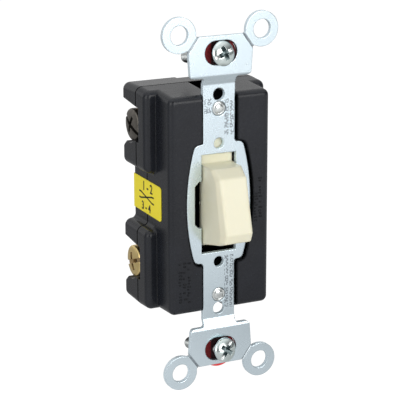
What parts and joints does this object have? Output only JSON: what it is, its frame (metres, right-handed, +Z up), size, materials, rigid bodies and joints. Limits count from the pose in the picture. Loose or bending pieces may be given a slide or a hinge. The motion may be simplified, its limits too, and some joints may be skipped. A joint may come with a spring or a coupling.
{
  "type": "toggle wall switch",
  "caption": "Side-wired wall switch: black two-shell housing on a plated steel strap, wide press-type toggle lever, screw terminals and plaster rings.",
  "frame": {"origin": "centre of the device on the strap's front face, midway between the two cover plate screw holes", "axes": "+Z up along the strap, -Y out of the wall towards the user, +X to the viewer's right"},
  "size_m": [0.0364, 0.0361, 0.1038],
  "materials": {
    "zinc_plated_steel": "satin zinc plate",
    "black_thermoset": "moulded, satin",
    "bright_steel": "bright",
    "screw_zinc": "bright zinc plate",
    "silver_alloy": "satin",
    "spring_brass": "rolled strip",
    "plate_brass": "rolled strip",
    "screw_brass": "turned",
    "screw_dark": "dark oxide",
    "red_fibre": "vulcanised fibre",
    "yellow_label": "printed film",
    "ivory_plastic": "moulded, satin",
    "white_plastic": "moulded"
  },
  "bodies": {
    "housing": {"mounting_strap": "zinc_plated_steel", "front_housing": "black_thermoset", "rear_housing": "black_thermoset", "assembly_rivets": "bright_steel", "lever_pivot_pin": "bright_steel", "stationary_contacts": "silver_alloy", "crossover_jumper_flat": "spring_brass", "crossover_jumper_bridge": "spring_brass", "retaining_washer_top": "red_fibre", "retaining_washer_bottom": "red_fibre", "rating_label": "yellow_label", "terminal_plate_upper_left": "plate_brass", "terminal_plate_lower_left": "plate_brass", "terminal_plate_upper_right": "plate_brass", "terminal_plate_lower_right": "plate_brass"},
    "lever": {"toggle_lever": "ivory_plastic", "contact_plungers": "white_plastic", "plunger_springs": "bright_steel"},
    "contact_arm_left": {"moving_contact_arm_left": "spring_brass", "moving_contacts_left": "silver_alloy"},
    "contact_arm_right": {"moving_contact_arm_right": "spring_brass", "moving_contacts_right": "silver_alloy"},
    "terminal_upper_left": {"terminal_screw_upper_left": "screw_dark"},
    "terminal_lower_left": {"terminal_screw_lower_left": "screw_brass"},
    "terminal_upper_right": {"terminal_screw_upper_right": "screw_dark"},
    "terminal_lower_right": {"terminal_screw_lower_right": "screw_brass"},
    "mounting_top": {"mounting_screw_top": "screw_zinc"},
    "mounting_bottom": {"mounting_screw_bottom": "screw_zinc"}
  },
  "joints": [
    {"name": "lever_swing", "type": "hinge", "parent": "housing", "child": "lever", "pos_m": [0, 0.0025, 0], "axis": [-1, 0, 0], "range_deg": [0, 35]},
    {"name": "contact_arm_left_rock", "type": "hinge", "parent": "housing", "child": "contact_arm_left", "pos_m": [-0.008, 0.0155, 0], "axis": [1, 0, 0], "range_deg": [0, 11.27]},
    {"name": "contact_arm_right_rock", "type": "hinge", "parent": "housing", "child": "contact_arm_right", "pos_m": [0.008, 0.0155, 0], "axis": [1, 0, 0], "range_deg": [0, 11.27]},
    {"name": "terminal_upper_left_unscrew", "type": "slide", "parent": "housing", "child": "terminal_upper_left", "axis": [-1, 0, 0], "range_m": [-0.001, 0.0014]},
    {"name": "terminal_lower_left_unscrew", "type": "slide", "parent": "housing", "child": "terminal_lower_left", "axis": [-1, 0, 0], "range_m": [-0.001, 0.0014]},
    {"name": "terminal_upper_right_unscrew", "type": "slide", "parent": "housing", "child": "terminal_upper_right", "axis": [1, 0, 0], "range_m": [-0.001, 0.0014]},
    {"name": "terminal_lower_right_unscrew", "type": "slide", "parent": "housing", "child": "terminal_lower_right", "axis": [1, 0, 0], "range_m": [-0.001, 0.0014]},
    {"name": "mounting_top_slide", "type": "slide", "parent": "housing", "child": "mounting_top", "axis": [0.1022, -0.9728, 0.2079], "range_m": [-0.0005, 0.008]},
    {"name": "mounting_bottom_slide", "type": "slide", "parent": "housing", "child": "mounting_bottom", "axis": [0.1022, -0.9728, 0.2079], "range_m": [-0.0005, 0.008]}
  ],
  "couplings": [
    {"joint": "contact_arm_left_rock", "follows": "lever_swing", "ratio": 0.3219},
    {"joint": "contact_arm_right_rock", "follows": "lever_swing", "ratio": 0.3219}
  ]
}
